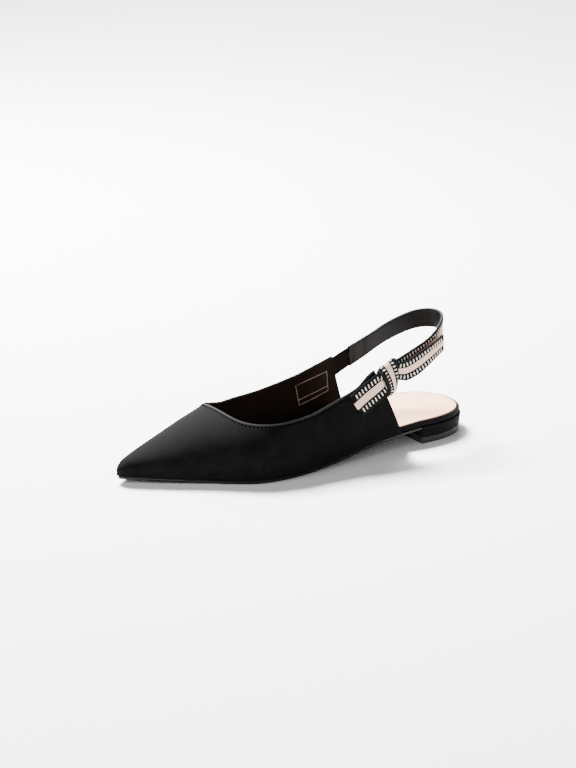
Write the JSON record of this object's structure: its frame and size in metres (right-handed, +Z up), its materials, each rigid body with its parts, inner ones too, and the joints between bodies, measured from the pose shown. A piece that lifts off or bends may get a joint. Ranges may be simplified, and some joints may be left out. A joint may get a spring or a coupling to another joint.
{
  "type": "slingback flat shoe",
  "caption": "Pointed women's slingback flat, left shoe, with a low block heel, a back strap round an open heel and a striped ribbon bow at its outer side.",
  "frame": {"origin": "on the floor, at the middle of the top lift's underside", "axes": "+Z up, the toe points to -X, the outer (lateral) side with the bow is -Y and the inner (medial) side is +Y"},
  "size_m": [0.2629, 0.0821, 0.0835],
  "materials": {
    "black_textile": "fine black suede-like textile with a soft sheen",
    "covered_board": "matt black covering wrapped round the board's rim",
    "nude_sock": "smooth pale nude leather, satin",
    "sole_rubber": "smooth black sole, slightly glossy at its edge",
    "covered_heel": "matt black covering",
    "lift_rubber": "dull grey-black rubber",
    "strap_lining": "smooth dark grey lining leather",
    "elastic": "woven dark elastic",
    "striped_ribbon": "ribbed ribbon with a beige middle stripe and rows of cream bars on black"
  },
  "bodies": {
    "root": {"upper": "black_textile", "insole_board": "covered_board", "insole_sock": "nude_sock", "outsole": "sole_rubber", "heel_block": "covered_heel", "top_lift": "lift_rubber", "back_strap": "strap_lining", "strap_elastic": "elastic", "bow_tail_front": "striped_ribbon", "bow_tail_back": "striped_ribbon", "bow_knot": "striped_ribbon"}
  },
  "joints": []
}
